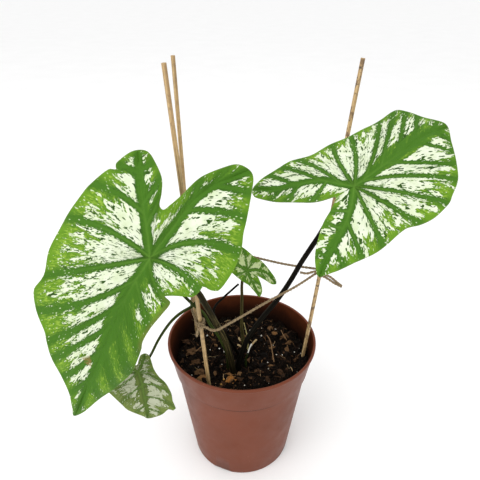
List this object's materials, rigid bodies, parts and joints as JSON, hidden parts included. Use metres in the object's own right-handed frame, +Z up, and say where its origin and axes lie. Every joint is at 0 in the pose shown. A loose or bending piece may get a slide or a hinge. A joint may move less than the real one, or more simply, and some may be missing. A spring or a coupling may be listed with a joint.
{
  "type": "potted white christmas caladium",
  "caption": "Variegated caladium leaves on long stems, staked with bamboo and jute twine, in a small nursery pot of soil.",
  "frame": {"origin": "centre of the pot's flat underside", "axes": "+Z up along the pot's axis, -Y towards the side that the big leaves face"},
  "size_m": [0.266, 0.1343, 0.3331],
  "materials": {
    "pot_plastic": "satin terracotta-coloured nursery plastic",
    "potting_soil": "damp dark peat and bark",
    "tuber_skin": "rough brown skin",
    "petiole_dark": "smooth, dark olive",
    "petiole_green": "smooth, green",
    "sheath_dry": "dry and papery",
    "bamboo": "split bamboo, unvarnished",
    "leaf": "thin leaf, satin, green with white between the veins",
    "leaf_limp": "thin limp leaf, pale grey-green",
    "jute": "twisted jute"
  },
  "bodies": {
    "root": {"pot": "pot_plastic", "soil": "potting_soil", "tuber": "tuber_skin", "petiole_big_left": "petiole_dark", "petiole_right": "petiole_dark", "petiole_middle": "petiole_dark", "petiole_low_left": "petiole_green", "stalk_left": "petiole_green", "stalk_back": "petiole_dark", "sheath_pale": "sheath_dry", "sheath_green": "petiole_green", "stake_front_left": "bamboo", "stake_back_left": "bamboo", "stake_right": "bamboo", "blade_big_left": "leaf", "blade_right": "leaf", "blade_middle": "leaf", "blade_low_left": "leaf_limp", "twine": "jute"}
  },
  "joints": []
}
